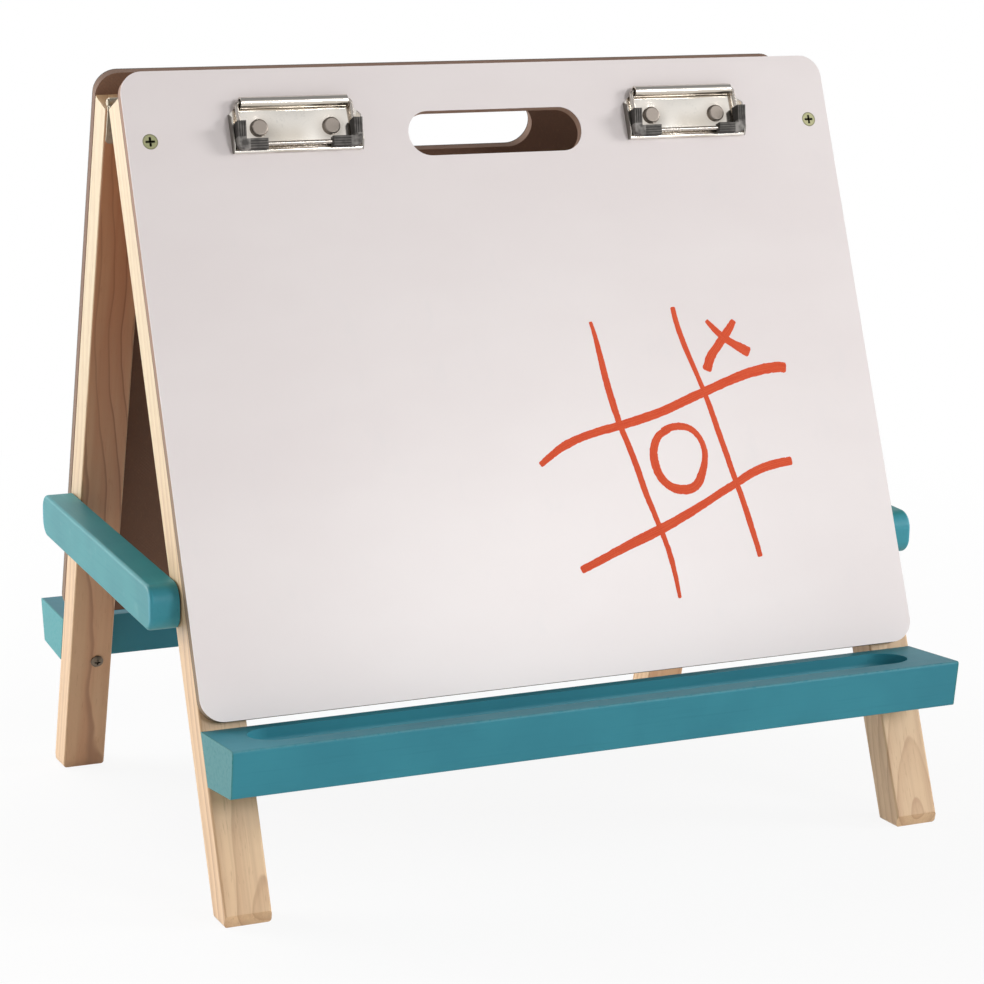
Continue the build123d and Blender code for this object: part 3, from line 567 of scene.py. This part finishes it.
# Painted shade colours: grey round the rivets, brown in bands on the plate.
rivet_shade_grey, shade_band_brown = rgb(0.42, 0.365, 0.31), rgb(0.44, 0.375, 0.295)
# Painted shade, grey, for the folded ends.
fold_shade_grey = rgb(0.27, 0.25, 0.225)


def folded_ends(plate):
    """1 on the sides folded down at both ends of a clip, which get a grey painted shade and a
    rougher finish.
    """
    across, _, _ = plate.axes()
    return plate.step(abs(abs(across) - clip_middle), clip_half - 0.0009, clip_half - 0.0004)


def rivet_dish(plate):
    """Round each rivet exp(-(r / reach)^2), with r the distance from its middle."""
    across, _, along = plate.axes(lean)
    beside = (abs(abs(across) - clip_middle) - rivet_aside) / rivet_reach
    over = (along - (clip_low + rivet_up)) / rivet_reach
    return plate.math("EXPONENT", 0.0 - (beside * beside + over * over))


def plate_shade_bands(plate):
    """Brown painted shade and dark reflection: under the barrel, a line along its top, and low on
    the plate between the rivets."""
    across, _, along = plate.axes(lean)
    up = along - clip_low
    barrel_low = barrel_up - barrel_radius
    under = plate.step(up, barrel_up - 0.0006, barrel_up - 0.0019)
    under = under * plate.step(up, barrel_low - 0.0006, barrel_low)
    over = plate.step(up, barrel_up + 0.0019, barrel_up + 0.0027)
    aside = abs(abs(across) - clip_middle - shade_band_aside)
    low = plate.step(aside, 0.016, 0.004) * plate.step(up, 0.0180, 0.0080)
    return under * 0.7 + over * 0.6 + low * 0.5


def crown(plate):
    """The pressed plate in millimetres: a crown that falls as the square of the distance up and
    down it and a little along it, and a dish round each rivet."""
    across, _, along = plate.axes(lean)
    above = (along - clip_centre) * 60.0
    aside = (abs(across) - clip_middle) * 14.0
    return 1.0 - above * above - aside * aside - 0.9 * rivet_dish(plate)


def nowhere(wire):
    """0 all over the wire, which has no folds, painted shade bands or crown."""
    return 0.0


def nickel(name, base, rough, fold_shading, banding, shape, strength):
    """Bright plate: fine crossed scratches above its lip, a slow ripple of the pressed sheet, a few
    dull spots, a grey painted shade round each rivet and, rougher, where the fold reading is 1, a
    brown painted shade where the band reading is 1, and shape(finish) as a relief in millimetres."""
    plate = Finish(name, Metallic=1.0)
    along = plate.noise(lean, (0, 0, 0), (60, 2600, 2600), 2.0, 0.6)
    across = plate.noise(lean + 0.5, (3, 0, 0), (2400, 2400, 90), 2.0, 0.6)
    ripple = plate.noise(lean, (0, 1, 0), (70, 70, 70), 1.0, 0.4)
    spot = plate.noise(lean, (0, 0, 2), (330, 330, 330), 3.0, 0.6)
    _, _, rise = plate.axes(lean)
    scratched = plate.step(rise - clip_low, 0.004, 0.007)
    dull = plate.step(spot, 0.55, 0.8)
    grey = fold_shading(plate)
    shade = plate.blend(base, scaled(base, 0.8), dull * 0.6)
    # Painted shade: grey round each rivet, brown in bands, grey on the folded ends.
    shade = plate.blend(shade, rivet_shade_grey, rivet_dish(plate) * 0.75)
    shade = plate.blend(shade, shade_band_brown, banding(plate))
    shade = plate.blend(shade, fold_shade_grey, grey)
    height = shape(plate) + 0.05 * ripple + scratched * (0.0015 * along + 0.0012 * across)
    return plate.show(
        Base_Color=shade,
        Roughness=rough + 0.05 * along + 0.04 * across + 0.10 * dull + 0.22 * grey,
        Normal=plate.relief(height, 0.001, strength),
    )


plate_finish = nickel("nickel_plate", plate_bright, 0.07, folded_ends, plate_shade_bands, crown, 1.0)
wire_finish = nickel("nickel_wire", wire_dull, 0.22, nowhere, nowhere, nowhere, 0.25)
satin = Finish("satin_rivet", Metallic=1.0)
frost = satin.noise(lean, (0, 0, 0), (1900, 1900, 1900), 3.0, 0.6)
satin.show(
    Base_Color=satin.blend(rgb(0.28, 0.245, 0.215), rgb(0.23, 0.20, 0.175), frost),
    Roughness=0.42 + 0.14 * frost,
    Normal=satin.relief(frost, 0.00003, 0.5),
)
for hand in ("left", "right"):
    coat(hand + "_clip_base", plate_finish)
    coat(hand + "_clip_bail", wire_finish)
    coat(hand + "_clip_rivets", satin.material)

# ------------------------------------------------------------------ clip grips
# Moulded dark grey rubber corners on each bail, ribbed for the fingers.
# Each has a post beside the plate, an arm along its lower edge and a plain block at the corner.
rubber = Finish("grey_rubber", Specular_IOR_Level=0.35)
rubber_grey, rubber_dark = rgb(0.150, 0.138, 0.127), rgb(0.062, 0.056, 0.052)
# Painted light: the paler grey of the corner blocks.
block_painted_light, skin_grey = rgb(0.37, 0.35, 0.33), rgb(0.20, 0.19, 0.19)
# Painted shade in the rib grooves.
groove_painted_shade = rgb(0.022, 0.020, 0.018)
post_middle, arm_middle = 0.0312, 0.0035
block_side, block_top = (0.0268, 0.0273), (0.0068, 0.0074)  # where the arm ends and the post starts
rib_pitch = 0.00125
skin = rubber.noise(lean, (0, 0, 0), (1500, 1500, 1500), 3.0, 0.6)
bloom = rubber.noise(lean, (0, 4, 0), (240, 240, 240), 2.0)
across, _, along = rubber.axes(lean)
outward = abs(abs(across) - clip_middle)
upward = along - clip_low


def groove(distance):
    """1 in the grooves that lie a whole number of pitches from an arm's middle line."""
    off = abs(rubber.math("FRACT", distance / rib_pitch + 0.5) - 0.5)
    return 1.0 - rubber.step(off, 0.1, 0.3)


beyond_arm = rubber.step(outward, *block_side)
above_block = rubber.step(upward, *block_top)
post = above_block * groove(outward - post_middle)
arm = (1.0 - beyond_arm) * groove(upward - arm_middle)
block = beyond_arm * (1.0 - above_block)
grey = rubber.blend(rubber_grey, rubber_dark, rubber.step(bloom, 0.3, 0.7))
# Painted light on the corner blocks.
grey = rubber.blend(grey, block_painted_light, block * rubber.step(bloom, 0.65, 0.3) * 0.7)
# Painted shade in the grooves of the posts and arms.
ribbed = rubber.blend(grey, groove_painted_shade, (post + arm) * 0.75)
rubber.show(
    Base_Color=rubber.blend(ribbed, skin_grey, rubber.step(skin, 0.58, 0.8) * 0.4),
    Roughness=0.52 + 0.2 * skin,
    Normal=rubber.relief(skin, 0.00006, 0.6),
)
for hand in ("left", "right"):
    coat(hand + "_clip_grips", rubber.material)

# ------------------------------------------------------------------ dry-wipe ink
# A game of noughts and crosses drawn on the whiteboard with a broad orange-red marker.
# Each stroke is a film of ink about a twentieth of a millimetre thick, with a ragged edge.
board_outer = 0.0266
ink_film = 0.00005
rows_between, lanes_across = 24, 9  # a stroke's grid: rows to each pair of points, and its columns
# Each stroke has its breadths, evenly spaced along it, and its points, across the board from its
# middle and down it from the hinge line, all in millimetres.
strokes = {
    "upright_left": (
        (2.0, 3.2, 3.9, 3.3, 3.4, 3.3, 3.6, 2.0),
        [(37.5, -134.7), (38.8, -142), (39.9, -151), (41.0, -162.4), (42.3, -173), (44, -182.8),
         (46, -192.5), (48.9, -202.8), (51.6, -214), (54.4, -227.5), (57.6, -239.4),
         (60.1, -248.6), (62.6, -259.3), (64.1, -271), (64.9, -284.7)],
    ),
    "upright_right": (
        (2.6, 3.1, 3.0, 3.5, 3.4, 3.6, 3.7, 2.6),
        [(86.7, -129.6), (87.6, -138.5), (90.2, -150.6), (93.7, -162.7), (97.2, -174.9),
         (99.8, -185.7), (102.2, -197.8), (104.8, -209.8), (107, -220.7), (108.7, -228),
         (111, -239.2), (113.1, -251.2), (114.8, -260.9), (115.6, -267.4)],
    ),
    "level_upper": (
        (3.0, 5.0, 4.8, 4.6, 4.6, 5.0, 4.6, 5.2, 6.2),
        [(-3.1, -208.4), (3.4, -204.2), (10.9, -199.9), (21.8, -195.9), (33.6, -193.2),
         (46.6, -190.9), (59.8, -188.2), (73.2, -184.8), (85.7, -180.6), (98.2, -176.5),
         (112.1, -172.1), (124.7, -168.6), (135.9, -166.7), (144.4, -166.2), (149.1, -167.1)],
    ),
    "level_lower": (
        (4.2, 4.6, 5.0, 4.4, 4.4, 4.4, 4.8, 5.0),
        [(11.1, -264.9), (22.5, -260.8), (34.7, -256.3), (48, -251.7), (60.3, -247.5),
         (74, -242.2), (87.9, -236.2), (98.2, -231.4), (108.5, -226.9), (117.6, -222.8),
         (126.5, -219.9), (136.4, -218.2), (143.7, -217.6)],
    ),
    "nought": (
        (3.4, 4.6, 4.8, 4.2, 5.0, 5.0, 4.0, 3.6, 4.2, 4.0),
        [(73.8, -195.1), (66.9, -198.3), (62.9, -205.4), (62.5, -213.5), (64.9, -220.8),
         (70.6, -226.2), (78.6, -228), (85.2, -225.6), (89.9, -218.2), (92.4, -209.9),
         (91.2, -202.3), (86.8, -196.4), (81, -194.2), (74.4, -194.4), (69.2, -196.3)],
    ),
    "cross_down": (
        (2.6, 3.8, 4.4, 4.4, 5.4, 6.0),
        [(105.4, -138), (109.8, -143.5), (113.9, -147.6), (118.2, -150.9), (123.5, -154.3),
         (128.5, -157.2)],
    ),
    "cross_up": (
        (3.4, 4.6, 4.6, 4.4, 5.0, 5.2),
        [(122, -139), (118.2, -143.7), (113.8, -148.3), (109.4, -153), (104.7, -158.2),
         (101.1, -165.4)],
    ),
}

ink = Finish("orange_ink", Specular_IOR_Level=0.2)
lane = ink.node("Attribute", {"attribute_name": "stroke"}, out="Vector")
length, width, order = [ink.node("SeparateXYZ", {}, {0: lane}, out=axis) for axis in range(3)]
drawn = ink.node("CombineXYZ", {}, {0: length * 60, 1: width * 5, 2: order * 9})
drag = ink.node("TexNoise", {}, {"Vector": drawn, "Scale": 1.0, "Detail": 3.0, "Roughness": 0.6})
speck = ink.noise(lean, (0, 0, 0), (1100, 1100, 1100), 2.0, 0.6)
full_ink, dragged_ink = rgb(0.70, 0.070, 0.021), rgb(0.77, 0.112, 0.038)
full = ink.blend(full_ink, dragged_ink, ink.step(drag, 0.35, 0.7))
ink.show(
    Base_Color=ink.blend(full, rgb(0.80, 0.17, 0.075), ink.step(speck, 0.5, 0.8) * 0.35),
    Roughness=0.55 + 0.2 * drag,
    Normal=ink.relief(drag, 0.00002, 0.5),
)


def board_spot(across, up, out):
    """Points of the whiteboard's own coordinates, in metres, as points of the shared frame."""
    stand = board_outer + out
    return np.stack(
        [
            across,
            up * sin(lean) - stand * cos(lean),
            hinge_height + up * cos(lean) + stand * sin(lean),
        ],
        axis=-1,
    )


def stroke_mesh(name, breadths, points, number):
    """A ribbon on a grid: centre line C(t), a Catmull-Rom curve through the points; half width
    w(t) = breadth(t) / 2 * (blunt cap at both ends) * (1 + ragged noise), with the breadths spaced
    evenly along the line; P(t, v) = C(t) + v w(t) N(t) for v from -1 to 1, and the height falls to
    the edge as ink_film * (0.15 + 0.85 (1 - v^4)), times 1, 1.1 and 1.2 by turns of number."""
    knots = np.array(points) / 1000
    control = np.vstack([2 * knots[0] - knots[1], knots, 2 * knots[-1] - knots[-2]])
    spans = len(knots) - 1
    t = np.linspace(0, spans - 1e-6, rows_between * spans)
    span = t.astype(int)
    u = (t - span)[:, None]
    before, start, end, after = (control[span + ahead] for ahead in range(4))
    line = 0.5 * (
        2 * start
        + (end - before) * u
        + (2 * before - 5 * start + 4 * end - after) * u**2
        + (3 * start - before - 3 * end + after) * u**3
    )
    way = np.gradient(line, axis=0)
    way /= np.hypot(*way.T)[:, None]
    normal = np.stack([-way[:, 1], way[:, 0]], axis=1)
    run = np.concatenate([[0], np.cumsum(np.hypot(*np.diff(line, axis=0).T))])

    rng = np.random.default_rng(number)
    rough = rng.normal(size=(2, len(t)))
    kernel = np.hanning(7)[1:-1]
    kernel /= kernel.sum()
    fine = np.array([np.convolve(side, kernel, "same") for side in rough])
    slow = np.sin(run * 90 + number) * 0.06 + np.sin(run * 37 + 2 * number) * 0.07
    half = np.interp(run, np.linspace(0, run[-1], len(breadths)), breadths) / 2000
    left = np.minimum(run / half, (run[-1] - run) / half)
    cap = np.sqrt(np.clip(1 - (1 - np.clip(2 * left + 0.2, 0, 1)) ** 2, 0, 1))
    v = np.linspace(-1, 1, lanes_across)
    side = np.where(v < 0, 0, 1)
    ragged = 1 + slow[:, None] + 0.055 * fine.T[:, side] * np.abs(v) ** 3
    reach = (half * cap)[:, None] * ragged * v
    flat = line[:, None, :] + reach[:, :, None] * normal[:, None, :]
    profile = ink_film * (0.15 + 0.85 * (1 - v**4)) * np.ones((len(t), 1))
    height = profile * (1 + 0.1 * (number % 3))
    grid = board_spot(flat[..., 0], flat[..., 1], height)

    rows, columns = len(t), len(v)
    index = np.arange(rows * columns).reshape(rows, columns)
    corners = (index[:-1, :-1], index[:-1, 1:], index[1:, 1:], index[1:, :-1])
    quads = np.stack(corners, axis=-1).reshape(-1, 4)
    mesh = bpy.data.meshes.new(name)
    mesh.from_pydata(grid.reshape(-1, 3).tolist(), [], quads.tolist())
    lanes = [np.repeat(run, columns), np.tile(v, rows), np.full(rows * columns, number)]
    lane = mesh.attributes.new("stroke", "FLOAT_VECTOR", "POINT")
    lane.data.foreach_set("vector", np.stack(lanes, axis=-1).ravel())
    if mesh.polygons[0].normal.y > 0:
        mesh.flip_normals()
    mesh.polygons.foreach_set("use_smooth", np.ones(len(mesh.polygons), bool))
    return mesh


for number, (stroke, (breadths, points)) in enumerate(strokes.items()):
    mesh = stroke_mesh("ink_" + stroke, breadths, points, number)
    mesh.materials.append(ink.material)
    piece = bpy.data.objects.new("ink_" + stroke, mesh)
    bpy.context.scene.collection.objects.link(piece)
    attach(piece, "front_frame")

# ------------------------------------------------------------------ the room
# A wide pale floor that runs out to plain white, and four broad soft lamps: a key from the right,
# a smaller one in front whose sheen lies on the board, one from the left and one from behind.
# The camera stands in front to the left, and looks a little down at the middle of the object.
floor_reach = 30.0
floor_signs = ((-1, -1), (1, -1), (1, 1), (-1, 1))
floor_corners = [(x * floor_reach, y * floor_reach, 0) for x, y in floor_signs]
floor_mesh = bpy.data.meshes.new("floor")
floor_mesh.from_pydata(floor_corners, [], [(0, 1, 2, 3)])
floor = bpy.data.objects.new("floor", floor_mesh)
bpy.context.scene.collection.objects.link(floor)

plain_white = rgb(1, 1, 1)
shown_rays = ("Is Camera Ray", "Is Glossy Ray", "Is Transmission Ray")


def seen_plainly(finish):
    """1 for the rays that show the room itself, 0 for those that light the object."""
    camera_ray, glossy_ray, clear_ray = [finish.node("LightPath", out=ray) for ray in shown_rays]
    return camera_ray + glossy_ray + clear_ray


paving = Finish("pale_floor", Specular_IOR_Level=0.2, Roughness=0.7)
floor_x, floor_y, _ = paving.axes()
away = (floor_x * floor_x + floor_y * floor_y) ** 0.5
grit = paving.noise(0.0, (0, 0, 0), (90, 90, 90), 3.0)
paving.show(Base_Color=paving.blend(rgb(0.87, 0.865, 0.86), rgb(0.84, 0.835, 0.83), grit))
glow = paving.node("Emission", {}, {"Color": plain_white, "Strength": 1.0})
amount = seen_plainly(paving) * paving.step(away, 0.3, 1.2, 0.9, 1.0)
lit = Reading(paving, paving.shader.outputs[0])
mixed = paving.node("MixShader", {}, {0: amount, 1: lit, 2: glow})
paving.feed(paving.tree.nodes["Material Output"].inputs[0], mixed)
floor_mesh.materials.append(paving.material)

world = bpy.data.worlds.new("room")
bpy.context.scene.world = world
world.use_nodes = True
sky = Finish("sky", world.node_tree)
height = sky.node("SeparateXYZ", {}, {0: sky.node("TexCoord", out="Generated")}, out=2)
overhead = sky.step(height, 0.4, 0.9, 1.0, 0.25)
walls = sky.node("Background", {}, {"Color": plain_white, "Strength": overhead})
fill = sky.node("Background", {}, {"Color": rgb(1, 0.99, 0.98), "Strength": 0.33})
chosen = sky.node("MixShader", {}, {0: seen_plainly(sky), 1: fill, 2: walls})
sky.feed(world.node_tree.nodes["World Output"].inputs[0], chosen)

lit_middle = Vector((0, 0, 0.2))
for name, spot, size, watts in (
    ("key_lamp", (3.77, -1.84, 1.55), 1.2, 82),
    ("front_lamp", (1.22, -2.75, 1.21), 0.75, 23),
    ("side_lamp", (-1.75, 1.4, 0.7), 1.5, 46),
    ("back_lamp", (-0.4, 1.9, 2.4), 1.6, 26),
):
    lamp = bpy.data.lights.new(name, "AREA")
    lamp.shape = "SQUARE"
    lamp.size = size
    lamp.energy = watts
    holder = bpy.data.objects.new(name, lamp)
    bpy.context.scene.collection.objects.link(holder)
    holder.location = spot
    holder.rotation_euler = (lit_middle - Vector(spot)).to_track_quat("-Z", "Y").to_euler()

eye = Vector((-0.58197, -1.37309, 0.45511))
sight = Vector((0.389348, 0.901757, -0.187728)).normalized()
upward = Vector((0.082586, 0.168814, 0.982182))
right = sight.cross(upward).normalized()
upward = right.cross(sight)
camera = bpy.data.cameras.new("camera")
camera.lens = 101.0
camera.sensor_width = 36.0
camera.clip_start = 0.05
camera.clip_end = 200.0
viewer = bpy.data.objects.new("camera", camera)
bpy.context.scene.collection.objects.link(viewer)
facing_axes = Matrix((right, upward, -sight)).transposed()
viewer.matrix_world = Matrix.Translation(eye) @ facing_axes.to_4x4()
bpy.context.scene.camera = viewer
bpy.context.scene.view_settings.view_transform = "Standard"
